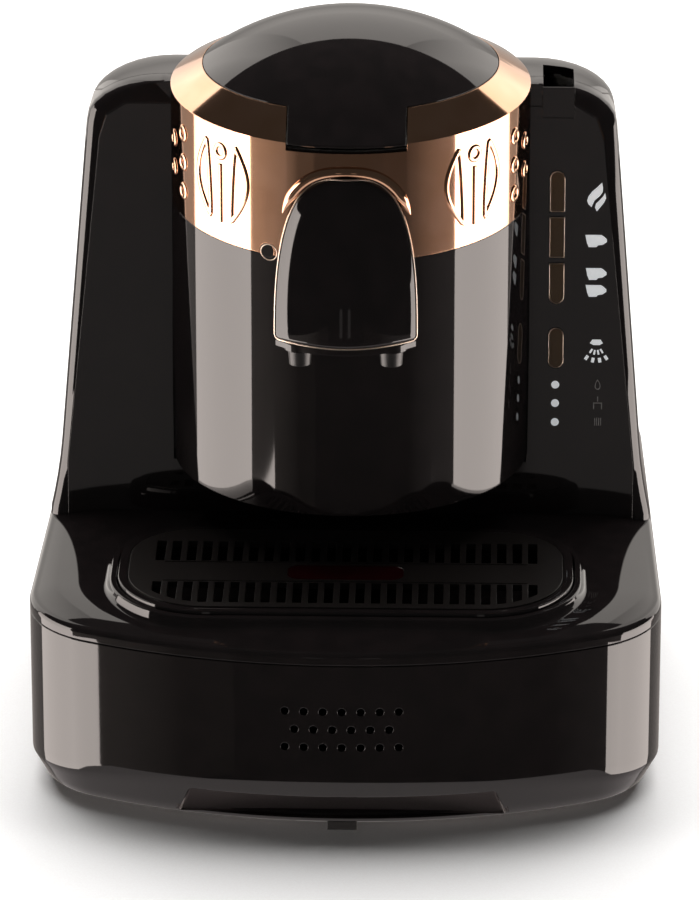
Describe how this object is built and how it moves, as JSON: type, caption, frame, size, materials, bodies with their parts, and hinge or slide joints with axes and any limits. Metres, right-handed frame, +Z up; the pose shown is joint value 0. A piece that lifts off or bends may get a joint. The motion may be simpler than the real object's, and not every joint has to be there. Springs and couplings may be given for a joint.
{
  "type": "electric turkish coffee maker",
  "caption": "Counter-top coffee maker with a domed brewing head, copper band, spout with two nozzles, key panel, drip tray and lift-out water tank.",
  "frame": {"origin": "on the table under the middle of the bounding box", "axes": "+Z up, the front with spout and keys faces -Y, +X is the side with the keys"},
  "size_m": [0.25, 0.262, 0.2903],
  "materials": {
    "gloss_black": "moulded high gloss ABS",
    "satin_black": "moulded satin ABS",
    "copper": "polished rose copper plating",
    "key_copper": "satin bronze paint with a bright copper edge",
    "wine_red": "dark red gloss",
    "smoke_clear": "smoke tinted clear plastic",
    "lens_white": "clear white light guide",
    "black_rubber": "matte",
    "silicone": "matte",
    "white_plastic": "satin",
    "steel": "brushed",
    "cast_heater": "cast",
    "board_green": "solder mask",
    "hose_clear": "milky silicone",
    "thermostat_ivory": "ceramic",
    "speaker_cone": "paper cone"
  },
  "bodies": {
    "machine": {"base_shell": "gloss_black", "deck": "gloss_black", "tower_housing": "gloss_black", "front_panel": "gloss_black", "drum_shell": "gloss_black", "spout_cover": "gloss_black", "spout_base": "gloss_black", "base_plate": "satin_black", "drum_floor": "satin_black", "nozzle_left": "satin_black", "nozzle_right": "satin_black", "cord_gland": "satin_black", "switch_frame": "satin_black", "sensor_plug": "satin_black", "speaker_bracket": "satin_black", "copper_band": "copper", "spout_collar": "copper", "indicator_lenses": "lens_white", "rubber_feet": "black_rubber", "front_foot": "black_rubber", "pump_mounts": "black_rubber", "key_mat": "silicone", "chamber_gasket": "silicone", "dock_seal": "silicone", "outlet_pipe": "white_plastic", "dock_spigot": "white_plastic", "brew_chamber": "steel", "lid_hinge_pin": "steel", "base_screws": "steel", "heater_plate": "cast_heater", "pump": "cast_heater", "control_board": "board_green", "power_board": "board_green", "water_hose": "hose_clear", "thermostat": "thermostat_ivory", "speaker": "speaker_cone"},
    "lid": {"head_lid": "gloss_black", "lid_liner": "white_plastic", "lid_seal": "silicone"},
    "boil_button": {"boil_key": "key_copper"},
    "one_cup_button": {"one_cup_key": "key_copper"},
    "two_cup_button": {"two_cup_key": "key_copper"},
    "rinse_button": {"rinse_key": "key_copper"},
    "tray": {"drip_tray": "gloss_black"},
    "grille": {"drip_grille": "satin_black", "grille_inlay": "wine_red"},
    "tank": {"water_tank": "smoke_clear", "tank_lid_pin": "steel", "tank_valve_spring": "steel"},
    "tank_cover": {"tank_lid": "gloss_black"},
    "valve": {"tank_valve": "white_plastic"},
    "rocker": {"power_switch": "satin_black"}
  },
  "joints": [
    {"name": "lid_hinge", "type": "hinge", "parent": "machine", "child": "lid", "pos_m": [0, 0.0755, 0.2652], "axis": [-1, 0, 0], "range_deg": [0, 72]},
    {"name": "boil_press", "type": "slide", "parent": "machine", "child": "boil_button", "axis": [0, 0.9901, -0.1406], "range_m": [0, 0.0015], "stiffness_N_per_m": 800, "springref_m": -0.0006},
    {"name": "one_cup_press", "type": "slide", "parent": "machine", "child": "one_cup_button", "axis": [0, 0.9901, -0.1406], "range_m": [0, 0.0015], "stiffness_N_per_m": 800, "springref_m": -0.0006},
    {"name": "two_cup_press", "type": "slide", "parent": "machine", "child": "two_cup_button", "axis": [0, 0.9901, -0.1406], "range_m": [0, 0.0015], "stiffness_N_per_m": 800, "springref_m": -0.0006},
    {"name": "rinse_press", "type": "slide", "parent": "machine", "child": "rinse_button", "axis": [0, 0.9901, -0.1406], "range_m": [0, 0.0015], "stiffness_N_per_m": 800, "springref_m": -0.0006},
    {"name": "tray_lift", "type": "slide", "parent": "machine", "child": "tray", "axis": [0, 0, 1], "range_m": [0, 0.012]},
    {"name": "grille_lift", "type": "slide", "parent": "tray", "child": "grille", "axis": [0, 0, 1], "range_m": [0, 0.006]},
    {"name": "tank_lift", "type": "slide", "parent": "machine", "child": "tank", "axis": [0, 0, 1], "range_m": [0, 0.15]},
    {"name": "tank_lid_hinge", "type": "hinge", "parent": "tank", "child": "tank_cover", "pos_m": [0, 0.12593, 0.217], "axis": [-1, 0, 0], "range_deg": [0, 90]},
    {"name": "valve_lift", "type": "slide", "parent": "tank", "child": "valve", "axis": [0, 0, 1], "range_m": [0, 0.002], "stiffness_N_per_m": 300, "springref_m": -0.002, "deforming": ["tank_valve_spring"]},
    {"name": "rocker_tilt", "type": "hinge", "parent": "machine", "child": "rocker", "pos_m": [0.062, 0.127, 0.04], "axis": [-1, 0, 0], "range_deg": [0, 16]}
  ]
}
